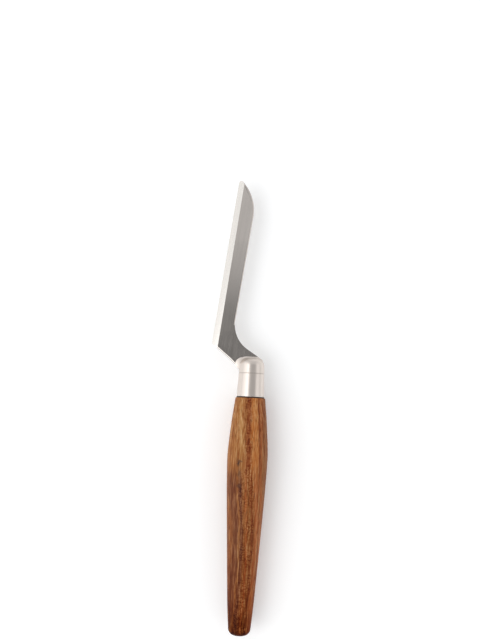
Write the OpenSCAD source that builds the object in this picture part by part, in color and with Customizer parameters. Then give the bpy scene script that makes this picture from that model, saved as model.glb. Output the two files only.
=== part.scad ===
// Offset knife for soft cheese.
// A thin ground blade whose neck cranks sideways into a round steel ferrule, on a turned hardwood handle.
// It lies on its side on the table: the handle runs along Y with the tip at +Y, and the edge faces -X.
// The origin is under the middle of the knife, where its box meets the table.

/* [Blade] */
// Length of the cutting edge, from the heel to the point
blade_len = 77.5; // [60:0.5:95]
// Width of the blade at the heel, square to the edge
heel_w = 8.7; // [7:0.1:11]
// Width of the blade at the point, square to the edge, before the clip is cut
tip_w = 9.3; // [7.5:0.1:12]
// Angle between the cutting edge and the handle
edge_lean = 6.6; // [0:0.1:12]
// Angle between the clipped front of the spine and the edge
clip_angle = 49.3; // [35:0.1:65]
// Radius where the clip runs into the spine
clip_r = 20; // [8:0.5:26]
// Radius of the point
tip_r = 1.1; // [0.5:0.1:2]
// Radius of the heel
heel_r = 1.2; // [0.5:0.1:2]

/* [Grind] */
// Thickness of the plate at the neck and tang
plate_t = 1.8; // [1.4:0.1:2.4]
// Thickness of the plate at the point
tip_t = 1.6; // [1:0.1:1.8]
// Angle of each bevel to the middle of the plate
bevel_angle = 16.5; // [13:0.5:25]
// Thickness left along the cutting edge
edge_land = 0.1; // [0.05:0.01:0.2]

/* [Neck] */
// How far the heel lies to the side of the handle's axis
heel_drop = 18.6; // [14:0.1:23]
// How far the heel lies in front of the wood
heel_at = 23.7; // [20:0.1:29]
// Angle of the neck's back edge to the handle
neck_angle = 57.5; // [45:0.5:68]
// Radius of the bend between the neck's back edge and the spine
bend_r = 13.5; // [8:0.5:20]
// How far the neck's back edge passes the axis at the ferrule's front
neck_back = 4.3; // [2.5:0.1:5]
// Radius at which that edge turns down into the nose
back_turn_r = 1; // [0.6:0.1:1.6]
// Gap between the neck and the inside of the ferrule
neck_gap = 0.2; // [0.1:0.05:0.5]
// How far behind the ferrule's front the neck's front edge leaves its side
neck_sink = 4.9; // [3.8:0.1:6]
// Depth of the hollow in the neck's front edge below the heel
choil_depth = 0.5; // [0.2:0.05:1]
// Radius of that hollow
choil_r = 12; // [6:0.5:16]

/* [Tang] */
// Length of the tang behind the front of the wood
tang_len = 60; // [45:1:75]
// Width of the tang at its shoulders
tang_w = 5; // [4:0.1:6]
// Width of the tang at its end
tang_end_w = 3.6; // [2.8:0.1:4.4]
// Depth of the shoulders behind the place where the neck leaves the ferrule
shoulder_back = 1.2; // [0.8:0.1:1.6]
// Number of pairs of notches that key the tang into its adhesive
notch_pairs = 3; // [1:1:5]
// Radius of a notch
notch_r = 0.6; // [0.3:0.1:0.9]

/* [Ferrule] */
// Length of the ferrule
ferrule_len = 17.1; // [14:0.1:20]
// Diameter of the ferrule beside the wood
ferrule_rear_d = 12.4; // [11.6:0.1:13.2]
// Diameter of the ferrule where its nose begins to round over
ferrule_front_d = 11.3; // [10:0.1:12.4]
// Radius of the nose
nose_r = 3; // [2:0.1:3.6]
// Radius of the ferrule's rear edge
rear_edge_r = 0.3; // [0.1:0.05:0.6]
// Thickness of the wall at the nose's edge, where it is thinnest
ferrule_wall = 0.7; // [0.5:0.05:1]
// Thickness of the front wall
nose_wall = 1.1; // [0.8:0.1:1.6]
// Distance of the fine turned line behind the ferrule's front
line_back = 6.5; // [5.5:0.1:8]
// Depth of the fine turned line
line_depth = 0.08; // [0.04:0.01:0.2]
// Radius of the fillet between the ferrule's front and the neck
front_fillet_r = 1.3; // [0.8:0.1:1.6]
// Radius of the fillet between the ferrule's side and the neck
side_fillet_r = 4.1; // [2.5:0.1:5]
// Angle at which both fillets meet the plate
lip_angle = 10; // [5:1:20]

/* [Handle] */
// Length of the wood that shows
handle_len = 103.5; // [85:0.5:130]
// Diameter of the wood at the spacer
joint_d = 13.4; // [12.8:0.1:15]
// Diameter of the belly
belly_d = 18; // [15:0.1:22]
// Distance of the belly behind the spacer
belly_at = 25; // [18:0.5:32]
// Diameter of the butt before its edge is rounded
butt_d = 9.9; // [8:0.1:12]
// Radius of the rounded butt
butt_r = 3; // [1.5:0.1:3.4]
// Radius of the eased front edge of the wood
wood_edge_r = 0.3; // [0.1:0.05:0.6]

/* [Spacer] */
// Thickness of the spacer between the ferrule and the wood
spacer_t = 0.4; // [0.3:0.05:1]
// How far the spacer stands out past the ferrule
spacer_proud = 0.1; // [0:0.05:0.2]

/* [Fits] */
// Clearance round the wooden tenon inside the ferrule and the spacer
tenon_gap = 0.05; // [0.02:0.01:0.15]
// Room for adhesive round the corners of the tang
glue_gap = 0.35; // [0.2:0.05:0.6]
// Room for adhesive behind the end of the tang
glue_end = 2; // [1:0.5:4]

/* [Hidden] */
$fn = 96;

// One overrun for every cut, and the steps of curves
cut_over = 1;
arc_step = 4;
curve_steps = 6;

// Places along the handle's axis, from the front of the wood
front_y = spacer_t + ferrule_len;
neck_y = front_y - neck_sink;
shoulder_y = neck_y - shoulder_back;
belly_r = belly_d / 2;

// Sizes of the fits
bore_r = ferrule_front_d / 2 - ferrule_wall;
tenon_r = bore_r - tenon_gap;
tang_bore_r = norm([tang_w, plate_t]) / 2 + glue_gap;
spacer_r = ferrule_rear_d / 2 + spacer_proud;

// Curves of the wood: shares of the way along each stretch, and of the change of radius on it
swell_shares = [[0, 0], [0.22, 0.28], [0.43, 0.54], [0.65, 0.74], [0.86, 0.92], [1, 1]];
taper_shares = [[0.06, 0.01], [0.16, 0.07], [0.3, 0.195], [0.5, 0.4], [0.7, 0.61], [0.87, 0.8], [1, 1]];

// Share of the way down the neck at which its front edge is hollowest
choil_share = 0.65;

// A direction in the plane of the blade, by its angle from +Y towards +X
function heading(angle) = [sin(angle), cos(angle)];

function unit(v) = v / norm(v);

// Where the line through p along u meets the line through q along v
function meet(p, u, q, v) =
    p + u * (v.y * (q.x - p.x) - v.x * (q.y - p.y)) / (u.x * v.y - u.y * v.x);

// The arc of radius r that rounds the corner b between its neighbours a and c
function corner(a, b, c, r) =
    let (
        u = unit(a - b),
        v = unit(c - b),
        half = acos(u * v) / 2,
        centre = b + unit(u + v) * r / sin(half),
        from = b + u * r / tan(half) - centre,
        turn = (180 - 2 * half) * sign(u.y * v.x - u.x * v.y),
        steps = max(1, ceil(abs(turn) / arc_step))
    )
    [for (i = [0 : steps]) centre + turned(from, turn * i / steps)];

function turned(v, angle) = [v.x * cos(angle) - v.y * sin(angle), v.x * sin(angle) + v.y * cos(angle)];

// A closed outline from corners written as [point, radius], with radius 0 for a sharp one
function rounded(corners) =
    let (n = len(corners))
    [
        for (i = [0 : n - 1])
            let (
                a = corners[(i + n - 1) % n][0],
                b = corners[i][0],
                c = corners[(i + 1) % n][0],
                r = corners[i][1]
            )
            each (r > 0 ? corner(a, b, c, r) : [b])
    ];

// A smooth curve through stations, which bends at each as its neighbours ask
function smooth(stations) =
    let (n = len(stations))
    [
        for (i = [0 : n - 2])
            let (
                a = stations[max(i - 1, 0)],
                b = stations[i],
                c = stations[i + 1],
                d = stations[min(i + 2, n - 1)]
            )
            for (k = [i == 0 ? 0 : 1 : curve_steps])
                between(a, b, c, d, k / curve_steps)
    ];

function between(a, b, c, d, t) =
    b + (c - a) * t / 2
    + (2 * a - 5 * b + 4 * c - d) * t * t / 2
    + (3 * b - a - 3 * c + d) * t * t * t / 2;

// Corners of the blade, seen from above
across = heading(edge_lean + 90);
heel = [-heel_drop, heel_at];
tip = heel + blade_len * heading(edge_lean);
spine_foot = heel + heel_w * across;
spine_top = tip + tip_w * across;
clip = meet(tip, heading(edge_lean + 180 - clip_angle), spine_foot, spine_top - spine_foot);

// Corners of the neck, which runs through the ferrule's front and side
back_entry = [neck_back, front_y];
back_line = heading(-neck_angle);
bend = meet(back_entry, back_line, spine_foot, spine_top - spine_foot);
back_turn = meet(back_entry, back_line, [bore_r - neck_gap, front_y], [0, 1]);
side_exit = [-side_radius(neck_y), neck_y];
neck_way = unit(side_exit - heel);
choil = heel + (side_exit - heel) * choil_share + choil_depth * [-neck_way.y, neck_way.x];
front_end = meet(choil, side_exit - choil, [0, shoulder_y], [1, 0]);

blade_outline = rounded([
    [tip, tip_r],
    [clip, clip_r],
    [bend, bend_r],
    [back_turn, back_turn_r],
    [[back_turn.x, shoulder_y], 0],
    [[tang_w / 2, shoulder_y], 0],
    [[tang_end_w / 2, -tang_len], notch_r],
    [[-tang_end_w / 2, -tang_len], notch_r],
    [[-tang_w / 2, shoulder_y], 0],
    [front_end, 0],
    [choil, choil_r],
    [heel, heel_r]
]);

// Reach of the knife to the side and to the front, for the origin
edge_x = min([for (p = blade_outline) p.x]);
tip_y = max([for (p = blade_outline) p.y]);

// Radius of the ferrule's side at a place along the axis
function side_radius(y) =
    (ferrule_rear_d + (ferrule_front_d - ferrule_rear_d) * (y - spacer_t) / (ferrule_len - nose_r)) / 2;

// Carries a piece from the handle's axis to the knife's own origin
module placed() {
    translate([-(edge_x + belly_r) / 2, -(tip_y - handle_len) / 2, belly_r])
        children();
}

// Turns an outline of radius and place along the axis into a solid round the handle's axis
module turned_about_axis() {
    rotate([-90, 0, 0])
        rotate_extrude()
            children();
}

// Everything over or under the neck where it passes the ferrule, up to a height
module over_neck(height) {
    linear_extrude(height = height, center = true)
        intersection() {
            polygon(blade_outline);
            translate([-belly_d, shoulder_y])
                square([2 * belly_d, front_y + 2 * front_fillet_r - shoulder_y]);
        }
}

// Blade: one stamped and ground plate, from the point to the end of the hidden tang
module blade() {
    color("silver")
        placed()
            difference() {
                plate();
                for (side = [0, 1])
                    mirror([0, 0, side]) {
                        bevel_cut();
                        taper_cut();
                    }
            }
}

// The plate as it is stamped, with the notches in its tang
module plate() {
    pitch = tang_len / (notch_pairs + 1);
    linear_extrude(height = plate_t, center = true)
        difference() {
            polygon(blade_outline);
            for (i = [1 : notch_pairs])
                for (side = [-1, 1])
                    translate([side * tang_half_width(-i * pitch), -i * pitch])
                        circle(r = notch_r);
        }
}

function tang_half_width(y) =
    (tang_w + (tang_end_w - tang_w) * (shoulder_y - y) / (shoulder_y + tang_len)) / 2;

// The bevel rises from the cutting edge until it meets the flat of the plate
module bevel_cut() {
    translate([heel.x, heel.y, edge_land / 2])
        rotate([0, 0, -edge_lean])
            rotate([0, -bevel_angle, 0])
                translate([-heel_w, -heel_w, 0])
                    cube([2 * heel_w, blade_len + 2 * heel_w, plate_t]);
}

// The flats draw together from the heel to the point
module taper_cut() {
    taper_len = tip_y - heel_at;
    translate([heel.x - heel_w, heel_at, plate_t / 2])
        rotate([-atan((plate_t - tip_t) / 2 / taper_len), 0, 0])
            cube([2 * (heel_drop + heel_w), taper_len + heel_w, plate_t]);
}

// Ferrule: a round steel cap over the tenon, filleted to the neck that passes through its nose
module ferrule() {
    color("gainsboro")
        placed()
            difference() {
                union() {
                    turned_about_axis()
                        ferrule_profile();
                    intersection() {
                        neck_fillets();
                        over_neck(2 * belly_d);
                    }
                }
                turned_about_axis()
                    bore_profile();
                over_neck(plate_t);
            }
}

module ferrule_profile() {
    line_y = front_y - line_back;
    difference() {
        polygon(rounded_half([
            [[ferrule_rear_d / 2, spacer_t], rear_edge_r],
            [[ferrule_front_d / 2 - nose_draw(), front_y], nose_r]
        ]));
        translate([side_radius(line_y) + line_depth, line_y])
            circle(r = 2 * line_depth, $fn = 24);
    }
}

// How much further the side draws in over the length of the nose
function nose_draw() =
    (ferrule_rear_d - ferrule_front_d) / 2 * nose_r / (ferrule_len - nose_r);

// An outline from the axis out and back, with its outer corners rounded
function rounded_half(corners) =
    let (n = len(corners))
    rounded([
        [[0, corners[0][0].y], 0],
        each corners,
        [[0, corners[n - 1][0].y], 0]
    ]);

module bore_profile() {
    polygon(rounded_half([
        [[bore_r, spacer_t - cut_over], 0],
        [[bore_r, front_y - nose_wall], nose_r / 2]
    ]));
}

// The fillets run along the nose, round its corners and down its side, above and below the plate
module neck_fillets() {
    half_t = plate_t / 2;
    side_r = ferrule_front_d / 2;
    side_reach = sqrt(pow(side_r + side_fillet_r, 2) - pow(half_t + side_fillet_r, 2));
    lobe = [side_fillet_r - side_reach, front_y + front_fillet_r - side_fillet_r];
    front_reach = sqrt(pow(side_r + front_fillet_r, 2) - pow(half_t + front_fillet_r, 2));
    nose = [front_reach - front_fillet_r - nose_r, front_y - nose_r];
    for (side = [0, 1])
        mirror([0, 0, side]) {
            translate([-nose.x, front_y, 0])
                rotate([90, 0, 90])
                    linear_extrude(height = 2 * nose.x)
                        cove(0, half_t, front_fillet_r, nose_wall);
            for (hand = [0, 1])
                mirror([hand, 0, 0])
                    translate([nose.x, nose.y, 0])
                        rotate_extrude(angle = 90)
                            cove(nose_r, half_t, front_fillet_r, nose_r);
            translate([lobe.x, lobe.y, 0])
                rotate_extrude(angle = 90, start = 90)
                    side_cove(half_t, side_fillet_r, side_reach);
            translate([lobe.x, shoulder_y, 0])
                rotate([90, 0, 180])
                    linear_extrude(height = lobe.y - shoulder_y)
                        side_cove(half_t, side_fillet_r, side_reach);
        }
}

// A hollow quarter round that stands on the plate against an upright wall at the distance wall_x
module cove(wall_x, base, r, bite) {
    difference() {
        translate([wall_x - bite, base])
            square([bite + r, r * cos(lip_angle)]);
        translate([wall_x + r, base + r * cos(lip_angle)])
            circle(r = r, $fn = 48);
    }
}

// A hollow round of the width r that stands on the plate and leans on the ferrule's round side
module side_cove(base, r, side_reach) {
    lean = atan((base + r) / side_reach);
    top = base + r - r * sin(lean);
    difference() {
        polygon([[0, base], [r, base], [r - r * cos(lean), top], [0, top]]);
        translate([r, base + r * cos(lip_angle)])
            circle(r = r, $fn = 48);
    }
}

// Spacer: a thin dark washer on the tenon, squeezed between the ferrule and the wood
module spacer() {
    color("#2b1a12")
        placed()
            turned_about_axis()
                translate([bore_r, 0])
                    square([spacer_r - bore_r, spacer_t]);
}

// Handle: turned hardwood with a tenon for the ferrule and a bore for the tang
module handle() {
    color("sienna")
        placed()
            turned_about_axis()
                difference() {
                    polygon(handle_outline());
                    translate([0, -tang_len - glue_end])
                        square([tang_bore_r, tang_len + glue_end + shoulder_y + cut_over]);
                }
}

function handle_outline() =
    let (
        joint_r = joint_d / 2,
        butt_y = -handle_len + butt_r,
        swell = smooth([for (s = swell_shares) [joint_r + (belly_r - joint_r) * s.y, -belly_at * s.x]]),
        taper = smooth([
            [belly_r, -belly_at],
            for (s = taper_shares)
                [belly_r + (butt_d / 2 - belly_r) * s.y, -belly_at + (butt_y + belly_at) * s.x]
        ])
    )
    [
        [0, shoulder_y],
        [tenon_r, shoulder_y],
        [tenon_r, 0],
        each corner([0, 0], swell[0], swell[1], wood_edge_r),
        for (i = [1 : len(swell) - 1]) swell[i],
        for (i = [1 : len(taper) - 2]) taper[i],
        each corner([butt_d / 2, butt_y], [butt_d / 2, -handle_len], [0, -handle_len], butt_r),
        [0, -handle_len]
    ];

// Tang adhesive: the cured resin that fills the bore round the tang
module tang_adhesive() {
    color("tan")
        placed()
            difference() {
                turned_about_axis()
                    translate([0, -tang_len - glue_end])
                        square([tang_bore_r, tang_len + glue_end + shoulder_y]);
                plate();
            }
}

blade();
ferrule();
spacer();
handle();
tang_adhesive();
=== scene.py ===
"""Offset kitchen knife for soft cheese, lying on its side on a pale table under soft studio light.

A ground stainless blade on a cranked neck, a polished steel ferrule, a dark spacer and a turned acacia
handle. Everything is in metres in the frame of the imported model: the handle runs along Y and the tip is at +Y.
"""
from math import cos, pi, radians, sin

import bmesh
import bpy
from mathutils import Matrix, Vector


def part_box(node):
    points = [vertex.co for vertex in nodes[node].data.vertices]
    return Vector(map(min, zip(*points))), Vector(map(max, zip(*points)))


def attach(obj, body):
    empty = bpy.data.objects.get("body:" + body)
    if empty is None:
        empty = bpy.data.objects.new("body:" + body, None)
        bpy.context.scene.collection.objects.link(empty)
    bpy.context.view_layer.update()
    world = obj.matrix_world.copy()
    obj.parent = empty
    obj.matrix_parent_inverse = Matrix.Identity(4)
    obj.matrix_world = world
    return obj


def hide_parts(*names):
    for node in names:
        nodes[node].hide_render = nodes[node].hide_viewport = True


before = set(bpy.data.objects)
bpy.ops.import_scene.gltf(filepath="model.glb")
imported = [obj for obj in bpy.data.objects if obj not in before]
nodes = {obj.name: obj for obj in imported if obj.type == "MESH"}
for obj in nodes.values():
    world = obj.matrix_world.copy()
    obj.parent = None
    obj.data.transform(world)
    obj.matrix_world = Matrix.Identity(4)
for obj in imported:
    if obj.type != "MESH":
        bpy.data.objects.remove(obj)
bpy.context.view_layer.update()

# Blade
# One plate of martensitic stainless steel, stamped, taper ground and belt satined, with a bevel ground on each
# side. It is one piece with the neck and with the tang inside the handle. Polishing has softened the stamped
# edges of the spine and the heel, and the cutting edge is left sharp.

MM = 0.001
EDGE_LEAN = radians(6.6)          # the cutting edge against the handle
SOFT_EDGE = 0.65 * MM             # radius that polishing leaves on the stamped edges
SOFT_STEPS = 6
MERGED = 0.0005 * MM              # corners closer than this are one
ONE_FLAT = radians(0.03)          # faces that meet at less than this are one flat
FLAT_RISE = 0.999                 # a face whose normal rises more than this is one of the plate's flats
WALL_RISE = 0.2                   # one whose normal rises less than this stands upright
BEVEL_RISE = (0.9, 0.98)          # one between these is a ground bevel
BEND_Y = 34 * MM                  # behind this the back of the neck kept its stamped edge
STEEL_COLOUR = "#cbc4be"
BEVEL_COLOUR = "#d3cfca"
SATIN_LINE_MM = (0.22, 16.0)      # belt lines on the flats, wide and long, as coarse as they need to show
GRIND_LINE_MM = (0.3, 5.0)        # grinding lines across the bevel, coarse as well
SATIN_DEPTH_MM = 0.0002
GRIND_DEPTH_MM = 0.0006
SATIN_ROUGHNESS = 0.13
GRIND_ROUGHNESS = 0.26
LINE_SPAN = (0.3, 0.7)            # where most values lie of a noise that draws lines
LINE_SWING = 0.05                 # how far the lines move the roughness, either way
HANDLING_MM = 14.0                # size of the faint smears from handling
SMEAR_SPAN = (0.35, 0.7)          # the values of a noise that show as smears
SMEAR_SWING = (-0.02, 0.05)       # how far the smears move the roughness
CREASE = radians(16)              # faces that meet at less than this shade as one surface


def linear(colour):
    """The linear colour, with alpha, of an sRGB hex string"""
    parts = [int(colour[i:i + 2], 16) / 255 for i in (1, 3, 5)]
    return [c / 12.92 if c <= 0.04045 else ((c + 0.055) / 1.055) ** 2.4 for c in parts] + [1.0]


def add(tree, kind, inputs=None, **settings):
    """Adds one node with its settings. An input takes a value, an output, or a node, for its first output"""
    made = tree.nodes.new("ShaderNode" + kind)
    for name, value in settings.items():
        setattr(made, name, value)
    for name, value in (inputs or {}).items():
        socket = made.inputs[name] if isinstance(name, int) else next(
            entry for entry in made.inputs if entry.enabled and entry.name == name)
        if isinstance(value, bpy.types.Node):
            value = next(output for output in value.outputs if output.enabled)
        if isinstance(value, bpy.types.NodeSocket):
            tree.links.new(value, socket)
        else:
            socket.default_value = value
    return made


def new_material(name):
    """An empty material, with its node tree"""
    material = bpy.data.materials.new(name)
    material.use_nodes = True
    material.node_tree.nodes.clear()
    return material, material.node_tree


def steel(name, colour, roughness, line_mm, turn, line_depth_mm):
    """Stainless steel finished with fine parallel lines, which run along Y before they are turned about Z"""
    material, tree = new_material(name)
    place = add(tree, "TexCoord").outputs["Object"]
    along = add(tree, "Mapping", {"Vector": place, "Rotation": (0, 0, turn)}, vector_type="TEXTURE")
    wide, long = line_mm[0] * MM, line_mm[1] * MM
    squeezed = add(tree, "Mapping", {"Vector": along, "Scale": (wide, long, wide)}, vector_type="TEXTURE")
    lines = add(tree, "TexNoise", {"Vector": squeezed, "Scale": 1.0, "Detail": 2.0, "Roughness": 0.5})
    smears = add(tree, "TexNoise", {"Vector": place, "Scale": 1 / (HANDLING_MM * MM), "Detail": 2.0})
    grain = add(tree, "MapRange", {"Value": lines, "From Min": LINE_SPAN[0], "From Max": LINE_SPAN[1],
                                   "To Min": roughness - LINE_SWING, "To Max": roughness + LINE_SWING})
    handled = add(tree, "MapRange", {"Value": smears, "From Min": SMEAR_SPAN[0], "From Max": SMEAR_SPAN[1],
                                     "To Min": SMEAR_SWING[0], "To Max": SMEAR_SWING[1]})
    rough = add(tree, "Math", {0: grain, 1: handled}, operation="ADD")
    relief = add(tree, "Bump", {"Height": lines, "Strength": 1.0, "Distance": line_depth_mm * MM})
    surface = add(tree, "BsdfPrincipled", {"Base Color": linear(colour), "Metallic": 1.0, "Roughness": rough,
                                           "Normal": relief})
    add(tree, "OutputMaterial", {"Surface": surface})
    return material


def finish_mesh(shape, name):
    """The object made from a finished mesh"""
    mesh = bpy.data.meshes.new(name)
    shape.to_mesh(mesh)
    shape.free()
    piece = bpy.data.objects.new(name, mesh)
    bpy.context.scene.collection.objects.link(piece)
    return piece


# the stamped plate, with its split corners joined and its flat faces made whole
plate = bmesh.new()
plate.from_mesh(nodes["blade"].data)
bmesh.ops.remove_doubles(plate, verts=plate.verts, dist=MERGED)
bmesh.ops.dissolve_limit(plate, verts=plate.verts, edges=plate.edges, angle_limit=ONE_FLAT)
plate.normal_update()


def was_polished(edge):
    """Whether an edge lies between a flat and an upright side that the polisher's wheel reached"""
    if len(edge.link_faces) != 2:
        return False
    flat, wall = sorted(edge.link_faces, key=lambda face: -abs(face.normal.z))
    middle = (edge.verts[0].co + edge.verts[1].co) / 2
    reached = middle.y > BEND_Y or wall.normal.x < 0
    return abs(flat.normal.z) > FLAT_RISE and abs(wall.normal.z) < WALL_RISE and reached


bmesh.ops.bevel(plate, geom=[edge for edge in plate.edges if was_polished(edge)], offset=SOFT_EDGE,
                offset_type="OFFSET", segments=SOFT_STEPS, profile=0.5, affect="EDGES", clamp_overlap=False)
bmesh.ops.remove_doubles(plate, verts=plate.verts, dist=MERGED)
plate.normal_update()
for face in plate.faces:
    face.smooth = True
    rise = abs(face.normal.z)
    face.material_index = 1 if BEVEL_RISE[0] < rise < BEVEL_RISE[1] and face.normal.x < 0 else 0
for edge in plate.edges:
    # the flats keep their own shading right up to the softened edge
    flats = sum(abs(face.normal.z) > FLAT_RISE for face in edge.link_faces)
    edge.smooth = len(edge.link_faces) == 2 and flats != 1 and edge.calc_face_angle(0.0) < CREASE

ground_blade = finish_mesh(plate, "ground_blade")
# belt satin leaves lines along the flats, and the stone leaves lines across the bevel: both break the
# reflection up a little, so that it draws out across them
ground_blade.data.materials.append(
    steel("satin_stainless_flats", STEEL_COLOUR, SATIN_ROUGHNESS, SATIN_LINE_MM, -EDGE_LEAN, SATIN_DEPTH_MM))
ground_blade.data.materials.append(
    steel("ground_stainless_bevel", BEVEL_COLOUR, GRIND_ROUGHNESS, GRIND_LINE_MM, pi / 2 - EDGE_LEAN,
          GRIND_DEPTH_MM))
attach(ground_blade, "root")
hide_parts("blade")

# Ferrule
# A turned cap of stainless steel over the front of the wood, welded to the neck and polished to one smooth
# fillet. Polishing on the lathe leaves rings too fine to see, but they draw its highlights out along it.

FERRULE_COLOUR = "#ddd3cb"
RING_MM = 0.12                    # spacing of the polishing rings, drawn as coarse as they need to show
RING_REACH_MM = 20.0              # how far a ring runs round before it changes
RING_DEPTH_MM = 0.0005
DRAWN_OUT = 0.8                   # how strongly the rings draw a reflection out
ALONG_AXIS = 0.25                 # and in which direction, as a share of a turn
POLISH_MM = 6.0                   # size of the patches that came out duller or brighter
LINE_AHEAD = 10.6 * MM            # the fine turned line, from the ferrule's rear end
LINE_REACH = 0.4 * MM             # how far the painted shade of the groove greys the steel on each side of it
GROOVE_SHADE_COLOUR = "#c2b9b1"
FERRULE_ROUGHNESS = (0.29, 0.34)


def turned_steel():
    """Stainless steel polished on the lathe, with rings round Y that spread a reflection along Y"""
    material, tree = new_material("polished_stainless_ferrule")
    place = add(tree, "TexCoord").outputs["Object"]
    reach, spacing = RING_REACH_MM * MM, RING_MM * MM
    squeezed = add(tree, "Mapping", {"Vector": place, "Scale": (reach, spacing, reach)},
                   vector_type="TEXTURE")
    rings = add(tree, "TexNoise", {"Vector": squeezed, "Scale": 1.0, "Detail": 3.0, "Roughness": 0.6})
    smears = add(tree, "TexNoise", {"Vector": place, "Scale": 1 / (POLISH_MM * MM), "Detail": 2.0})
    rough = add(tree, "MapRange", {"Value": smears, "From Min": SMEAR_SPAN[0], "From Max": SMEAR_SPAN[1],
                                   "To Min": FERRULE_ROUGHNESS[0], "To Max": FERRULE_ROUGHNESS[1]})
    relief = add(tree, "Bump", {"Height": rings, "Strength": 1.0, "Distance": RING_DEPTH_MM * MM})
    # the fine turned line is a grey band painted along the steel: painted shade of its groove
    forward = add(tree, "SeparateXYZ", {"Vector": place}).outputs["Y"]
    beyond = add(tree, "Math", {0: forward, 1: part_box("ferrule")[0].y + LINE_AHEAD}, operation="SUBTRACT")
    off_line = add(tree, "Math", {0: beyond}, operation="ABSOLUTE")
    off_groove_shade = add(tree, "MapRange", {"Value": off_line, "From Max": LINE_REACH})
    colour = add(tree, "Mix", {"Factor": off_groove_shade, "A": linear(GROOVE_SHADE_COLOUR), "B": linear(FERRULE_COLOUR)},
                 data_type="RGBA")
    tangent = add(tree, "Tangent", direction_type="RADIAL", axis="Y")
    surface = add(tree, "BsdfPrincipled", {"Base Color": colour, "Metallic": 1.0,
                                           "Roughness": rough, "Anisotropic": DRAWN_OUT,
                                           "Anisotropic Rotation": ALONG_AXIS, "Tangent": tangent,
                                           "Normal": relief})
    add(tree, "OutputMaterial", {"Surface": surface})
    return material


nodes["ferrule"].material_slots[0].material = turned_steel()

# Spacer
# A thin dark washer on the tenon, squeezed between the ferrule and the wood. Its darkness is painted shade,
# the shade of the seam between them. It is matt, and its edge was turned and sanded together with the handle.

SEAM_SHADE_COLOURS = ("#20130c", "#3a2417")
FIBRE_MM = 0.3
FIBRE_DEPTH_MM = 0.01
SPACER_ROUGHNESS = 0.7

material, tree = new_material("dark_washer_seam_shade")
place = add(tree, "TexCoord").outputs["Object"]
fibre = add(tree, "TexNoise", {"Vector": place, "Scale": 1 / (FIBRE_MM * MM), "Detail": 3.0})
# the washer's two dark colours are painted shade of the seam
shade = add(tree, "ValToRGB", {"Fac": fibre})
for element, colour in zip(shade.color_ramp.elements, SEAM_SHADE_COLOURS):
    element.color = linear(colour)
relief = add(tree, "Bump", {"Height": fibre, "Strength": 1.0, "Distance": FIBRE_DEPTH_MM * MM})
surface = add(tree, "BsdfPrincipled", {"Base Color": shade, "Roughness": SPACER_ROUGHNESS, "Normal": relief})
add(tree, "OutputMaterial", {"Surface": surface})
nodes["spacer"].material_slots[0].material = material

# Handle
# One piece of acacia, turned, sanded and oiled. Its layers run along the handle and lean a little, so they
# show as stripes, with a dark one that drifts across, open pores, a curled figure and a small knot.

handle_low, handle_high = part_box("handle")
joint_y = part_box("spacer")[0].y
axis_place = ((handle_low.x + handle_high.x) / 2, joint_y, (handle_low.z + handle_high.z) / 2)
HANDLE_LENGTH_MM = (joint_y - handle_low.y) / MM
LAYER_TILT = radians(14)          # the layers against the upright

# the shades of acacia, from the sapwood's to the latewood's
PALE, GOLDEN, ORANGE, RUST = "#b0804e", "#9a6334", "#b87843", "#a86437"
BROWN, RED_BROWN, DUSKY = "#8b5228", "#8b4c26", "#713f22"
# the layers, by their place across the handle in mm: first at the front, where pale wood lies on the left,
# and then behind the knot, where the wood is darker
FRONT_LAYERS = [(-9.0, BROWN), (-7.0, GOLDEN), (-3.6, GOLDEN), (-2.5, PALE), (-1.7, GOLDEN), (-0.9, BROWN),
                (-0.3, RED_BROWN), (0.7, RED_BROWN), (1.8, ORANGE), (4.2, ORANGE), (4.9, RED_BROWN),
                (5.2, RED_BROWN), (5.8, RUST), (7.5, BROWN)]
REAR_LAYERS = [(-9.0, DUSKY), (-7.4, BROWN), (-6.4, DUSKY), (-4.9, DUSKY), (-4.4, GOLDEN), (-4.0, DUSKY),
               (-3.0, DUSKY), (-2.2, BROWN), (-1.6, BROWN), (-0.9, RUST), (-0.2, BROWN), (0.7, BROWN),
               (1.3, RED_BROWN), (1.8, BROWN), (2.4, RUST), (3.8, RUST), (4.6, BROWN), (5.6, RUST),
               (7.5, BROWN)]
REAR_FROM, REAR_TO = 27.0, 39.0   # where the front layers give way to the rear ones, behind the spacer, in mm
BORDER_STRAYS_MM = 14.0           # how far that border strays along the handle, end to end
LAYER_STRAYS_MM = {"waves": 3.2, "wander": 1.2}  # how far these two patterns move the layers, end to end
# how far the layers drift towards +X, by the distance behind the spacer, all in mm
DRIFT = [(0, -0.4), (12, -0.3), (24, 0.0), (44, 1.5), (58, 2.6), (68, 2.9), (80, 2.7), (104, 2.4)]
DRIFT_LOW, DRIFT_HIGH = -2.0, 4.0
# what the wood's colour is multiplied by along the handle: it darkens towards the butt
DARKENING = [(0, "#ffffff"), (60, "#ffffff"), (74, "#f0e6e0"), (86, "#ecdcd2"), (92, "#dcc2ae"),
             (97, "#bc9e80"), (101, "#b08c68"), (104, "#7c5638")]
SHEEN = (0.15, 0.04)              # the oiled skin's specular level, on the grip and at the butt
SHEEN_FALLS = 0.6                 # where it begins to fall, as a share of the handle's length
WOOD_IOR = 1.47
WOOD_ROUGHNESS = (0.46, 0.66)
OPEN_SPAN = (0.3, 1.2)            # the values of fibres and pores together between which the roughness rises
RELIEF_MM, RELIEF_STRENGTH = 0.03, 0.6
RAISED_FIBRES = 0.3               # how high the fibres stand, as a share of the pores' depth
FIBRES_SHARE, STREAKS_SHARE = 0.34, 0.16  # how far each swings the colour's exponent
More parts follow.
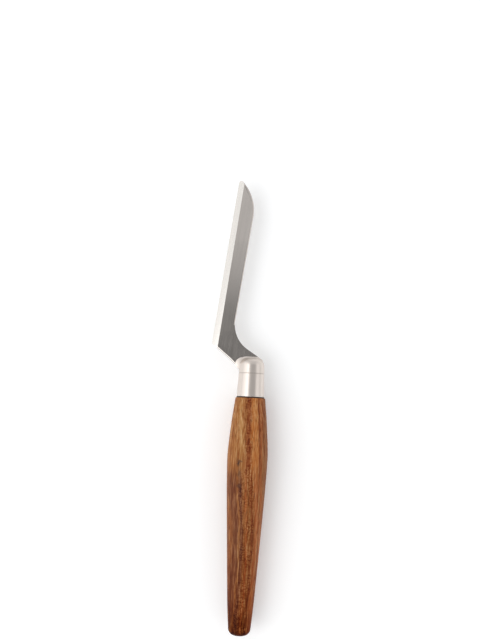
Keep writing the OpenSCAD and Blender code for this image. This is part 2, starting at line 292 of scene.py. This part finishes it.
# the grain's patterns: size across, along and up in mm, detail and roughness. Fibres, streaks and pores are
# drawn two to three times as wide as the real ones, so that they show.
GRAIN = {
    "waves": ((5, 26, 5), 2.0, 0.5),
    "wander": ((0.9, 3.2, 0.9), 3.0, 0.6),
    "change": ((1.2, 9, 1.2), 2.0, 0.5),
    "fibres": ((0.42, 10, 0.42), 2.0, 0.6),
    "streaks": ((0.9, 24, 0.9), 2.0, 0.5),
    "curl": ((1.9, 1.4, 1.9), 1.0, 0.5),
    "patches": ((3, 6, 3), 1.0, 0.5),
    "pores": ((0.28, 4.0, 0.28), 1.0, 0.5),
}
CURL_FRONT, CURL_REAR = (-1.1, 1.3), (-4.0, 2.0)  # the layers, in mm, between which the curl shows
CURL_EDGE_MM = 0.6                # how gradually it ends, to each side
CURL_SHARE = (0.02, 0.42)         # how far it swings the colour's exponent, outside and inside those layers
CURL_PATCH_SPAN, CURL_FAINTEST = (0.4, 0.6), 0.25
CURL_RING = (0.01, 0.08)          # how far from the noise's middle value its rings are darkest, and end
CURL_LIGHTEST = -0.1              # the wood between the rings is hardly lighter than it would be without them
PORE_SPAN, PORE_SHARE, PORE_COLOUR = (0.6, 0.7), 0.55, "#3a1c0d"
KNOT_COLOUR = "#3d2a24"
KNOT_FADE = (0.4, 1.4)            # in half sizes, where a fleck begins to fade and where it ends
RAGGED_PER_MM, RAGGED_MM = 0.9, 1.6  # how fine the flecks' ragged outline is, and how far it strays
# the knot and the dark smears behind it: place from the middle of the joint and half sizes, in mm, and depth
FLECKS = [((-3.9, -28.6, 8.1), (0.7, 1.5, 2.0), 0.9), ((-3.0, -27.9, 8.4), (0.9, 0.4, 1.0), 0.6),
          ((-3.6, -33.0, 8.2), (0.6, 2.2, 1.2), 0.5), ((-3.2, -38.6, 8.2), (1.1, 0.9, 1.2), 0.5)]


def spread_ramp(ramp, low, high, stops):
    """Sets a colour ramp to stops given in the units of its range, low to high"""
    elements = ramp.color_ramp.elements
    while len(elements) < len(stops):
        elements.new(0.5)
    for element, (at, colour) in zip(elements, stops):
        element.position = (at - low) / (high - low)
        element.color = linear(colour)


def acacia():
    """Oiled acacia, with every place in mm from the middle of the joint with the spacer"""
    material, tree = new_material("oiled_acacia")
    place = add(tree, "Mapping", {"Vector": add(tree, "TexCoord").outputs["Object"], "Location": axis_place,
                                  "Scale": (MM, MM, MM)}, vector_type="TEXTURE")
    grain = {}
    for name, (size_mm, detail, roughness) in GRAIN.items():
        squeezed = add(tree, "Mapping", {"Vector": place, "Scale": size_mm}, vector_type="TEXTURE")
        grain[name] = add(tree, "TexNoise", {"Vector": squeezed, "Scale": 1.0, "Detail": detail,
                                             "Roughness": roughness})
    parts = add(tree, "SeparateXYZ", {"Vector": place}).outputs
    behind = add(tree, "Math", {0: parts["Y"], 1: -1.0}, operation="MULTIPLY")
    far = add(tree, "Math", {0: behind, 1: HANDLE_LENGTH_MM}, operation="DIVIDE")

    # the layers: across the tilted board, less their drift, with slow waves and small wanders
    tilted = add(tree, "Mapping", {"Vector": place, "Rotation": (0, LAYER_TILT, 0)}, vector_type="TEXTURE")
    across = add(tree, "SeparateXYZ", {"Vector": tilted}).outputs["X"]
    drift = add(tree, "FloatCurve", {"Value": far})
    curve = drift.mapping.curves[0]
    while len(curve.points) < len(DRIFT):
        curve.points.new(0.5, 0.5)
    for point, (at, shift) in zip(curve.points, DRIFT):
        point.location = (min(at / HANDLE_LENGTH_MM, 1.0), (shift - DRIFT_LOW) / (DRIFT_HIGH - DRIFT_LOW))
    drift.mapping.update()
    # at the top of the handle the tilt has moved the layers by this much
    lift = sin(LAYER_TILT) * (handle_high.z - axis_place[2]) / MM
    drifted = add(tree, "Math", {0: drift, 1: DRIFT_LOW - DRIFT_HIGH, 2: lift - DRIFT_LOW},
                  operation="MULTIPLY_ADD")
    layer = add(tree, "Math", {0: across, 1: drifted}, operation="ADD")
    for name, reach_mm in LAYER_STRAYS_MM.items():
        moved = add(tree, "Math", {0: grain[name], 1: reach_mm, 2: -reach_mm / 2}, operation="MULTIPLY_ADD")
        layer = add(tree, "Math", {0: layer, 1: moved}, operation="ADD")
    stripes = []
    for layers in (FRONT_LAYERS, REAR_LAYERS):
        low, high = layers[0][0], layers[-1][0]
        spread = add(tree, "MapRange", {"Value": layer, "From Min": low, "From Max": high})
        stripes.append(add(tree, "ValToRGB", {"Fac": spread}))
        spread_ramp(stripes[-1], low, high, layers)
    patchy = add(tree, "Math", {0: grain["change"], 1: BORDER_STRAYS_MM, 2: -BORDER_STRAYS_MM / 2},
                 operation="MULTIPLY_ADD")
    reached = add(tree, "Math", {0: behind, 1: patchy}, operation="ADD")
    rear = add(tree, "MapRange", {"Value": reached, "From Min": REAR_FROM, "From Max": REAR_TO},
               interpolation_type="SMOOTHSTEP")
    striped = add(tree, "Mix", {"Factor": rear, "A": stripes[0], "B": stripes[1]}, data_type="RGBA")
    along = add(tree, "ValToRGB", {"Fac": far})
    spread_ramp(along, 0, HANDLE_LENGTH_MM, DARKENING)
    darkened = add(tree, "Mix", {"Factor": 1.0, "A": striped, "B": along}, data_type="RGBA",
                   blend_type="MULTIPLY")

    # the curl shows only in the middle layers, and spreads over more of them behind the knot
    first = add(tree, "MapRange", {"Value": rear, "To Min": CURL_FRONT[0], "To Max": CURL_REAR[0]})
    last = add(tree, "MapRange", {"Value": rear, "To Min": CURL_FRONT[1], "To Max": CURL_REAR[1]})
    past_first = add(tree, "Math", {0: layer, 1: first}, operation="SUBTRACT")
    from_first = add(tree, "MapRange", {"Value": past_first, "From Min": -CURL_EDGE_MM,
                                        "From Max": CURL_EDGE_MM})
    short_of_last = add(tree, "Math", {0: last, 1: layer}, operation="SUBTRACT")
    to_last = add(tree, "MapRange", {"Value": short_of_last, "From Min": -CURL_EDGE_MM,
                                     "From Max": CURL_EDGE_MM})
    between = add(tree, "Math", {0: from_first, 1: to_last}, operation="MULTIPLY")
    patches = add(tree, "MapRange", {"Value": grain["patches"], "From Min": CURL_PATCH_SPAN[0],
                                     "From Max": CURL_PATCH_SPAN[1], "To Min": CURL_FAINTEST})
    curled = add(tree, "Math", {0: between, 1: patches}, operation="MULTIPLY")
    curl_share = add(tree, "MapRange", {"Value": curled, "To Min": CURL_SHARE[0], "To Max": CURL_SHARE[1]})
    # its figure is small dark rings, the outlines of a smooth noise
    curl_height = add(tree, "Math", {0: grain["curl"], 1: 0.5}, operation="SUBTRACT")
    curl_rings = add(tree, "Math", {0: curl_height}, operation="ABSOLUTE")

    # dark wood is redder as well as darker, so the fine grain works as an exponent on the colour. Each
    # pattern adds its share to the exponent where it is low, and its share of the last figure where it is high
    depth = 1.0
    for pattern, share, (low, high), lightest in ((grain["fibres"], FIBRES_SHARE, LINE_SPAN, -1.0),
                                                  (grain["streaks"], STREAKS_SHARE, LINE_SPAN, -1.0),
                                                  (curl_rings, curl_share, CURL_RING, CURL_LIGHTEST)):
        swing = add(tree, "MapRange", {"Value": pattern, "From Min": low, "From Max": high, "To Min": 1.0,
                                       "To Max": lightest})
        depth = add(tree, "Math", {0: swing, 1: share, 2: depth}, operation="MULTIPLY_ADD")
    lit = add(tree, "Gamma", {"Color": darkened, "Gamma": depth})

    # open pores are short dark dashes
    pores = add(tree, "MapRange", {"Value": grain["pores"], "From Min": PORE_SPAN[0],
                                   "From Max": PORE_SPAN[1]})
    filled = add(tree, "Math", {0: pores, 1: PORE_SHARE}, operation="MULTIPLY")
    pored = add(tree, "Mix", {"Factor": filled, "A": lit, "B": linear(PORE_COLOUR)}, data_type="RGBA")

    # the knot and its flecks, with ragged outlines
    ragged = add(tree, "TexNoise", {"Vector": place, "Scale": RAGGED_PER_MM, "Detail": 2.0}).outputs["Color"]
    strays = add(tree, "VectorMath", {0: ragged, 1: 3 * (0.5,)}, operation="SUBTRACT")
    shifted = add(tree, "VectorMath", {0: strays, 1: 3 * (RAGGED_MM,), 2: place}, operation="MULTIPLY_ADD")
    knot = 0.0
    for centre, half_sizes, deep in FLECKS:
        off_middle = add(tree, "Mapping", {"Vector": shifted, "Location": centre, "Scale": half_sizes},
                         vector_type="TEXTURE")
        away = add(tree, "VectorMath", {0: off_middle}, operation="LENGTH")
        fleck = add(tree, "MapRange", {"Value": away, "From Min": KNOT_FADE[0], "From Max": KNOT_FADE[1],
                                       "To Min": deep, "To Max": 0.0})
        knot = add(tree, "Math", {0: fleck, 1: knot}, operation="MAXIMUM")
    knotted = add(tree, "Mix", {"Factor": knot, "A": pored, "B": linear(KNOT_COLOUR)}, data_type="RGBA")

    # oil leaves a satin skin, broken up by the pores and the latewood, and less of it on the thirsty butt
    sheen = add(tree, "MapRange", {"Value": far, "From Min": SHEEN_FALLS, "To Min": SHEEN[0],
                                   "To Max": SHEEN[1]})
    open_grain = add(tree, "Math", {0: grain["fibres"], 1: pores}, operation="ADD")
    rough = add(tree, "MapRange", {"Value": open_grain, "From Min": OPEN_SPAN[0], "From Max": OPEN_SPAN[1],
                                   "To Min": WOOD_ROUGHNESS[0], "To Max": WOOD_ROUGHNESS[1]})
    raised = add(tree, "Math", {0: grain["fibres"], 1: RAISED_FIBRES}, operation="MULTIPLY")
    height = add(tree, "Math", {0: raised, 1: pores}, operation="SUBTRACT")
    relief = add(tree, "Bump", {"Height": height, "Strength": RELIEF_STRENGTH, "Distance": RELIEF_MM * MM})
    surface = add(tree, "BsdfPrincipled", {"Base Color": knotted, "Roughness": rough, "IOR": WOOD_IOR,
                                           "Specular IOR Level": sheen, "Normal": relief})
    add(tree, "OutputMaterial", {"Surface": surface})
    return material


nodes["handle"].material_slots[0].material = acacia()

# Tang adhesive
# Two part epoxy that fills the bore round the tang. It cures to a clear amber and never shows on the finished
# knife.

EPOXY_COLOURS = ("#b98a45", "#d3ab68")
CLOUD_MM = 3.0
EPOXY_ROUGHNESS, EPOXY_IOR = 0.15, 1.55

material, tree = new_material("cured_epoxy")
place = add(tree, "TexCoord").outputs["Object"]
cloud = add(tree, "TexNoise", {"Vector": place, "Scale": 1 / (CLOUD_MM * MM), "Detail": 2.0})
shade = add(tree, "ValToRGB", {"Fac": cloud})
for element, colour in zip(shade.color_ramp.elements, EPOXY_COLOURS):
    element.color = linear(colour)
surface = add(tree, "BsdfPrincipled", {"Base Color": shade, "Roughness": EPOXY_ROUGHNESS, "IOR": EPOXY_IOR})
add(tree, "OutputMaterial", {"Surface": surface})
nodes["tang_adhesive"].material_slots[0].material = material

# Table
# A plain pale matt top, which isn't part of the knife. Close to the knife it takes the light and the shadow,
# and far off the camera and reflections see it plain white, so that it has no horizon.

TABLE_SIZE = 30.0
TABLE_COLOUR = "#fcfcfc"
TABLE_ROUGHNESS, TABLE_SPECULAR = 0.9, 0.2
SPECK_MM, SPECK_DEPTH_MM = 0.8, 0.01
SEEN_WHITE = "#fdfdfd"            # what the camera and reflections see of the table far from the knife
SEEN_LIFT = 0.13                  # and the share of it that they see on top of the lit table close to it
CLOSE_BY, FAR_OFF = 0.2, 0.7      # in m from the knife's middle

top = bmesh.new()
bmesh.ops.create_grid(top, x_segments=1, y_segments=1, size=TABLE_SIZE / 2)
table = finish_mesh(top, "table")
material, tree = new_material("matt_white_table")
place = add(tree, "TexCoord").outputs["Object"]
speck = add(tree, "TexNoise", {"Vector": place, "Scale": 1 / (SPECK_MM * MM), "Detail": 2.0})
relief = add(tree, "Bump", {"Height": speck, "Strength": 1.0, "Distance": SPECK_DEPTH_MM * MM})
surface = add(tree, "BsdfPrincipled", {"Base Color": linear(TABLE_COLOUR), "Roughness": TABLE_ROUGHNESS,
                                       "Specular IOR Level": TABLE_SPECULAR, "Normal": relief})
paths = add(tree, "LightPath").outputs
seen = add(tree, "Math", {0: paths["Is Camera Ray"], 1: paths["Is Glossy Ray"]}, operation="MAXIMUM")
lift = add(tree, "Math", {0: seen, 1: SEEN_LIFT}, operation="MULTIPLY")
glow = add(tree, "Emission", {"Color": linear(SEEN_WHITE), "Strength": lift})
lifted = add(tree, "AddShader", {0: surface, 1: glow})
away = add(tree, "VectorMath", {0: place}, operation="LENGTH")
far_off = add(tree, "MapRange", {"Value": away, "From Min": CLOSE_BY, "From Max": FAR_OFF},
              interpolation_type="SMOOTHSTEP")
seen_far = add(tree, "Math", {0: seen, 1: far_off}, operation="MULTIPLY")
white = add(tree, "Emission", {"Color": linear(SEEN_WHITE), "Strength": 1.0})
mixed = add(tree, "MixShader", {0: seen_far, 1: lifted, 2: white})
add(tree, "OutputMaterial", {"Surface": mixed})
table.data.materials.append(material)

# Studio light
# A big soft box to the left, a weaker one to the right, a small key light above the left shoulder, and pale
# walls. The ceiling is dark between the lamps, and the blade's flats and the ferrule's top mirror that gap.

WALL_COLOUR = "#fdfeff"
WALL_STRENGTH = 0.75
GAP_STRENGTH = 0.23
GAP_MIDDLE = (0.36, -0.08, 1.0)   # the gap's middle, as slopes from the zenith across and along
GAP_OUTER = (0.72, 0.27, 1.0)     # its half sizes, in the same slopes, where it ends
GAP_INNER = (0.54, 0.17, 0.0)     # and within which it is darkest

world = bpy.data.worlds.new("studio_walls")
bpy.context.scene.world = world
world.use_nodes = True
tree = world.node_tree
tree.nodes.clear()
way = add(tree, "TexCoord").outputs["Generated"]
rise = add(tree, "SeparateXYZ", {"Vector": way}).outputs["Z"]
rises = add(tree, "CombineXYZ", {"X": rise, "Y": rise, "Z": rise})
slope = add(tree, "VectorMath", {0: way, 1: rises}, operation="DIVIDE")
off_middle = add(tree, "VectorMath", {0: slope, 1: GAP_MIDDLE}, operation="SUBTRACT")
away = add(tree, "VectorMath", {0: off_middle}, operation="ABSOLUTE")
within = add(tree, "MapRange", {"Vector": away, "From Min": GAP_OUTER, "From Max": GAP_INNER},
             data_type="FLOAT_VECTOR", interpolation_type="SMOOTHSTEP")
sides = add(tree, "SeparateXYZ", {"Vector": within}).outputs
gap = add(tree, "Math", {0: sides["X"], 1: sides["Y"]}, operation="MULTIPLY")
strength = add(tree, "MapRange", {"Value": gap, "To Min": WALL_STRENGTH, "To Max": GAP_STRENGTH})
walls = add(tree, "Background", {"Color": linear(WALL_COLOUR), "Strength": strength})
backdrop = add(tree, "Background", {"Color": linear(SEEN_WHITE), "Strength": 1.0})
mixed = add(tree, "MixShader", {0: add(tree, "LightPath").outputs["Is Camera Ray"], 1: walls, 2: backdrop})
add(tree, "OutputWorld", {"Surface": mixed})


def soft_box(name, place, size, power):
    """A rectangular soft box that faces the knife, with its place and size in m and its power in W"""
    lamp = bpy.data.lights.new(name, "AREA")
    lamp.shape = "RECTANGLE"
    lamp.size, lamp.size_y = size
    lamp.energy = power
    box = bpy.data.objects.new(name, lamp)
    box.location = place
    box.rotation_euler = (-Vector(place)).to_track_quat("-Z", "Y").to_euler()
    bpy.context.scene.collection.objects.link(box)


soft_box("soft_box_left", (-0.9, 0.1, 0.63), (1.6, 1.27), 3.6)
soft_box("soft_box_right", (0.93, 0.0, 0.58), (1.6, 0.8), 1.2)
soft_box("key_light", (-0.6, -0.45, 0.85), (1.0, 1.0), 3.7)

# Camera
# Above the knife, a little towards the butt and turned slightly. The tilt is counted from straight down, and
# the roll is the turn about the upright.

CAMERA_DISTANCE = 0.408
CAMERA_TILT = radians(5.8)
CAMERA_ROLL = radians(2.85)
LOOK_AT = Vector((-1.635, 37.061, 9.0)) * MM
FOCAL_PIXELS = 900                # focal length in pixels of the photograph
PICTURE_HEIGHT = 640              # in the same pixels
NEAREST = 0.01                    # nothing nearer to the lens than this is drawn, in m

across_view = Vector((cos(CAMERA_ROLL), sin(CAMERA_ROLL), 0))
along_floor = Vector((-sin(CAMERA_ROLL), cos(CAMERA_ROLL), 0))
backwards = -sin(CAMERA_TILT) * along_floor + cos(CAMERA_TILT) * Vector((0, 0, 1))
upwards = backwards.cross(across_view)
camera = bpy.data.cameras.new("camera")
camera.sensor_fit = "VERTICAL"
camera.lens = camera.sensor_height * FOCAL_PIXELS / PICTURE_HEIGHT
camera.clip_start = NEAREST
view = bpy.data.objects.new("camera", camera)
turn = Matrix((across_view, upwards, backwards)).transposed().to_4x4()
view.matrix_world = Matrix.Translation(LOOK_AT + CAMERA_DISTANCE * backwards) @ turn
bpy.context.scene.collection.objects.link(view)
bpy.context.scene.camera = view
bpy.context.scene.view_settings.view_transform = "Standard"
